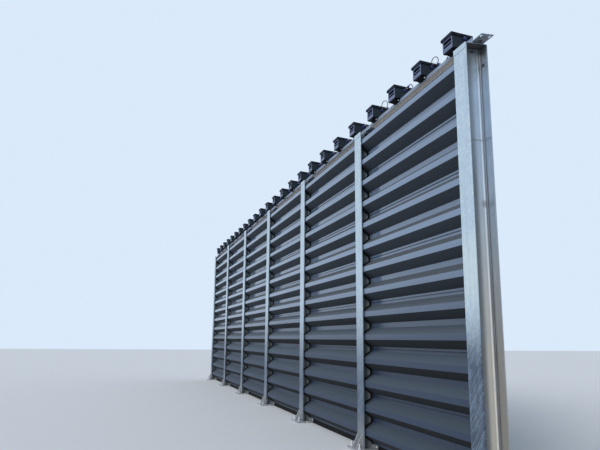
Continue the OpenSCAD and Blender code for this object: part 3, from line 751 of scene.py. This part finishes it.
def base_fittings():
    """Anchor bolts with nuts and washers, and the welds at the posts' feet."""
    bolts = Shape()
    thread = [(-0.018, 0.0098)]
    for k in range(7):
        thread += [(0.022 + 0.0045 * k, 0.0098), (0.024 + 0.0045 * k, 0.0090)]
    thread.append((0.054, 0.0085))
    nut = [(0.0, 0.0160), (0.0012, 0.0173), (0.0150, 0.0173), (0.0162, 0.0160)]
    washer = [(0, 0.0205), (0.0004, 0.021), (0.0036, 0.021), (WASHER, 0.0205)]
    for post in POSTS:
        for side in (-ANCHOR_SIDE, ANCHOR_SIDE):
            for across in (-ANCHOR_ACROSS, ANCHOR_ACROSS):
                foot = (post + side, across, PLATE_TOP)
                bolts.turned(foot, (0, 0, 1), washer, 24)
                seat = (post + side, across, PLATE_TOP + WASHER)
                bolts.turned(seat, (0, 0, 1), nut, 6, post + across * 9)
                bolts.turned(foot, (0, 0, 1), thread, 14)
    bolts.piece("anchor_bolts", "galvanised_post", "bright_zinc")
    welds = Shape()
    for k, post in enumerate(POSTS):
        for front in (-1, 1):
            for gusset in (-GUSSET_SIDE, GUSSET_SIDE):
                for side in (-GUSSET_HALF, GUSSET_HALF):
                    x = post + gusset + side
                    face = front * 0.101
                    welds.bead((x, face, 0.022), (x, face, 0.157), GUSSET_WELD, k + x)
                    welds.bead((x, front * 0.104, 0.021), (x, front * 0.168, 0.021), GUSSET_WELD, k - x)
            face = front * 0.1015
            welds.bead((post - 0.099, face, 0.0212), (post + 0.099, face, 0.0212), PLATE_WELD, k)
        for side in (-1, 1):
            for front in (-1, 1):
                edge = post + side * 0.1015
                start = (edge, front * 0.099, 0.0212)
                welds.bead(start, (edge, front * 0.089, 0.0212), PLATE_WELD, k + side)
    welds.piece("base_welds", "galvanised_post")


def gland_fittings():
    """Hexagon and dome of each gland, and boots, couplers and sleeves on the leads in the tray."""
    glands = Shape()
    boots = Shape()
    shells = Shape()
    wraps = Shape()
    dome = [(0.0110, 0.0150), (0.0115, 0.0158), (0.0165, 0.0158), (0.0190, 0.0150), (0.0225, 0.0125),
            (0.0250, 0.0100), (0.0263, 0.0086)]
    flange = [(0.0002, 0.0165), (0.0004, 0.0176), (0.0100, 0.0176), (0.0110, 0.0165)]
    sleeve = [(0, 0.0046), (0.0006, 0.0053), (0.0190, 0.0053), (0.0196, 0.0046)]
    for k, box in enumerate(BOXES):
        for way in (1, -1):
            if way < 0 and k == len(BOXES) - 1:
                continue
            start = (box + way * BOX_SIDE, GLAND_Y, GLAND_Z)
            glands.turned(start, (way, 0, 0), flange, 6, 0.3 * k)
            glands.turned(start, (way, 0, 0), dome, 24)
        if k < BOXES_IN_BAY:
            continue
        mouth = Vector((box + BOX_SIDE + MOUTH, GLAND_Y, GLAND_Z))
        boot(boots, mouth, (1, 0, 0))
        boot(boots, mouth + Vector((NEXT_MOUTH, 0, 0)), (-1, 0, 0))
        coupler(shells, mouth + Vector((0.038, 0, 0)), (1, 0, 0))
        wraps.turned(mouth + Vector((0.0545, 0, 0)), (1, 0, 0), sleeve, 16)
    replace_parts(glands.piece("gland_nuts", "gland_plastic"), "cable_glands")
    boots.piece("lead_boots", "black_rubber")
    shells.piece("lead_couplers", "coupler_plastic")
    wraps.piece("lead_sleeves", "coupler_plastic", "sleeve")


def box_fittings():
    """Heads and nuts of the bolts under the boxes, and the lids' screws."""
    bolts = Shape()
    head = [(0.0, 0.0085), (0.0006, 0.0090), (0.0006, 0.0068), (0.0050, 0.0068), (0.0056, 0.0058)]
    screw = [(-0.001, 0.0048), (0.0006, 0.0048), (0.0018, 0.0040), (0.0024, 0.0022)]
    slope = Vector((0, LID_FALL, LID_DEPTH)).normalized()
    for box in BOXES:
        for way in (1, -1):
            bolts.turned((box + way * BOX_BOLT[0], *BOX_BOLT[1:]), (way, 0, 0), head, 6, 0.4)
            for across in SCREWS_ACROSS:
                top = LID_TOP - (across - LID_FRONT) * LID_FALL / LID_DEPTH
                bolts.turned((box + way * SCREW_SIDE, across, top), slope, screw, 12)
    bolts.piece("box_bolts", "galvanised_tray", "bright_zinc")


def plug(shape, middle):
    """Blanking plug in a slot: circles whose halves are set apart along the tray."""
    outline = ((0.0049, -0.0030), (0.0052, -0.0026), (0.0052, 0.0), (0.0085, 0.0), (0.0088, 0.0004),
               (0.0088, 0.0014), (0.0080, 0.0022))
    rings = []
    for radius, rise in outline:
        ring = []
        for k in range(16):
            turn = 2 * math.pi * (k + 0.5) / 16
            half = SLOT_HALF if math.cos(turn) > 0 else -SLOT_HALF
            ring.append(middle + Vector((radius * math.cos(turn) + half, radius * math.sin(turn), rise)))
        rings.append(ring)
    shape.rings(rings)


def tray_fittings():
    """Bolts through the trays into the brackets, and plugs in the slots that no bolt uses."""
    bolts = Shape()
    dome = [(-0.001, 0.0085), (0.0002, 0.0085), (0.0022, 0.0076), (0.0040, 0.0050), (0.0046, 0.0022)]
    for post in POSTS:
        for along in TRAY_BOLTS_ALONG:
            for across in TRAY_BOLTS_ACROSS:
                past_first = post == POSTS[0] and along > FIRST_POST_MOST
                past_last = post == POSTS[-1] and along < LAST_POST_LEAST
                if not past_first and not past_last:
                    bolts.turned((post + along, across, TRAY_FLOOR), (0, 0, 1), dome, 16)
    bolts.piece("tray_bolts", "galvanised_tray", "bright_zinc")
    plugs = Shape()
    for bay, post in enumerate(POSTS[:-1]):
        near = post + TRAY_JOINT
        far = POSTS[bay + 1] + (-TRAY_END if bay == BAYS - 1 else TRAY_JOINT)
        for k in range(SLOTS):
            for across in SLOTS_ACROSS:
                along = (near + far) / 2 + (k - (SLOTS - 1) / 2) * SLOT_STEP
                plug(plugs, Vector((along, across, TRAY_FLOOR)))
    plugs.piece("tray_plugs", "galvanised_tray", "near_tray")


def end_fittings():
    """Bolt in the near bracket's spare hole, bolts in the end posts' flanges, bead under the near head."""
    spare = Shape()
    head = [(-0.011, 0.0070), (-0.0106, 0.0076), (0.0062, 0.0076), (0.0062, 0.0115), (0.0078, 0.0115),
            (0.0080, 0.0104), (0.0082, 0.0104), (0.0146, 0.0104), (0.0154, 0.0092)]
    nut = [(0.0004, 0.0115), (0.0018, 0.0118), (0.0020, 0.0106), (0.0092, 0.0106), (0.0100, 0.0094)]
    spare.turned(SPARE_HOLE, (0, 0, -1), head, 6, 0.3)
    spare.turned(SPARE_HOLE, (0, 0, 1), nut, 6, 0.7)
    spare.piece("tongue_bolt", "galvanised_tray", "rust")

    ends = Shape()
    washer = [(0, 0.0140), (0.0022, 0.0142), (0.0024, 0.0118)]
    head = washer + [(0.0090, 0.0118), (0.0100, 0.0105)]
    nut = washer + [(0.0110, 0.0118), (0.0120, 0.0105)]
    shank = [(-0.0018, 0.0088), (0.0324, 0.0086), (0.0332, 0.0078)]
    for post, way in ((POSTS[0], 1), (POSTS[-1], -1)):
        x = post + way * FLANGE_HOLE_X
        for top in FLANGE_HOLES:
            ends.turned((x, FLANGE_INSIDE, top), (0, -1, 0), head, 6, top)
            ends.turned((x, FLANGE_INSIDE, top), (0, 1, 0), shank, 16)
            ends.turned((x, FLANGE_OUTSIDE, top), (0, 1, 0), nut, 6, top)
    ends.piece("flange_bolts", "galvanised_post", "dull_steel")

    # A black bead along the gap under the near head, where it shows dark
    bead = Shape()
    places = []
    for start, end in zip(HEAD_GAP_BEAD, HEAD_GAP_BEAD[1:]):
        run = Vector(end) - Vector(start)
        for k in range(8):
            places.append((Vector(start) + run * k / 8, run.normalized()))
    bead.tube(places, HEAD_GAP_BEAD_RADIUS, 8)
    bead.piece("head_bead", "black_rubber")


def edge_lips():
    """Rubber lips that close the panels' ends along their corrugations."""
    lips = Shape()
    line = []
    for k in range(CORRUGATIONS):
        for y, z in PROFILE:
            line.append(Vector((y, PANEL_BASE + k * PITCH + z)))
    line.insert(0, Vector((line[0].x, PANEL_BASE + LIP_END)))
    line.append(Vector((line[-1].x, PANEL_BASE + CORRUGATIONS * PITCH - LIP_END)))
    for post in POSTS:
        for way in (1, -1):
            near = post + way * LIP_PLACE
            far = near + way * LIP_WIDTH
            if abs(near) > POSTS[0]:
                continue
            rings = []
            for before, here, after in zip(line[:1] + line, line, line[1:] + line[-1:]):
                run = ((here - before).normalized() + (after - here).normalized()).normalized()
                out = Vector((-run.y, run.x))
                chord = (after - before).normalized()
                lean = max(0.5, out.dot(Vector((-chord.y, chord.x))))
                edge = here + out * LIP_HEIGHT / lean
                edge.x = max(edge.x, LIP_FRONT)
                back = here.x + LIP_GAP
                rings.append([Vector((near, back, here.y)), Vector((near, edge.x, edge.y)),
                              Vector((far, edge.x, edge.y)), Vector((far, back, here.y))])
            lips.rings(rings)
    lips.piece("edge_lips", "black_rubber")


def add_fittings():
    """Makes every fitting, in one order."""
    base_fittings()
    gland_fittings()
    box_fittings()
    tray_fittings()
    end_fittings()
    edge_lips()


# Lamps: energy, angle in degrees, and the way that their light goes
LAMPS = (
    ("key", 1.2, 50, (0.10, 0.75, -0.62)),
    ("fill", 1.5, 16, (-0.72, 0.58, -0.38)),
)

# World: the tone that lights the object, and the tone that the camera and reflections see
SKY_LIGHT = (0.40, 0.47, 0.56, 1)
SKY_SEEN = (0.70, 0.82, 0.96, 1)

# Floor: half its side, and its two tones
FLOOR_HALF = 60
FLOOR_TONES = ((0.62, 0.63, 0.64), (0.64, 0.65, 0.66))


def set_sky():
    """One tone lights the object, and another is seen by the camera and in reflections."""
    world = bpy.data.worlds.new("studio")
    world.use_nodes = True
    bpy.context.scene.world = world
    tree = world.node_tree
    path = tree.nodes.new("ShaderNodeLightPath")
    seen = path.outputs["Is Camera Ray"]
    for ray in ("Is Glossy Ray", "Is Transmission Ray"):
        either = tree.nodes.new("ShaderNodeMath")
        either.operation = "ADD"
        tree.links.new(seen, either.inputs[0])
        tree.links.new(path.outputs[ray], either.inputs[1])
        seen = either.outputs[0]
    tone = tree.nodes.new("ShaderNodeMix")
    tone.data_type = "RGBA"
    tree.links.new(seen, tone.inputs["Factor"])
    tone.inputs[MIX_A].default_value = SKY_LIGHT
    tone.inputs[MIX_B].default_value = SKY_SEEN
    tree.links.new(tone.outputs[MIX_RESULT], tree.nodes["Background"].inputs["Color"])


def set_stage():
    """View transform, sky, floor and lamps."""
    scene = bpy.context.scene
    scene.view_settings.view_transform = "Standard"
    set_sky()
    mesh = bpy.data.meshes.new("floor")
    corners = [(x * FLOOR_HALF, y * FLOOR_HALF, 0) for x, y in ((-1, -1), (1, -1), (1, 1), (-1, 1))]
    mesh.from_pydata(corners, [], [(0, 1, 2, 3)])
    floor = bpy.data.objects.new("floor", mesh)
    scene.collection.objects.link(floor)
    n = Nodes("floor_look")
    mesh.materials.append(n.finish(n.mix(n.noise(3), *FLOOR_TONES), 0.9))

    for name, energy, angle, direction in LAMPS:
        lamp = bpy.data.lights.new(name, "SUN")
        lamp.energy = energy
        lamp.angle = math.radians(angle)
        made = bpy.data.objects.new(name, lamp)
        made.rotation_euler = Vector(direction).to_track_quat("-Z", "Y").to_euler()
        scene.collection.objects.link(made)


set_camera()
lay_leads()
dress_nodes()
add_fittings()
set_stage()
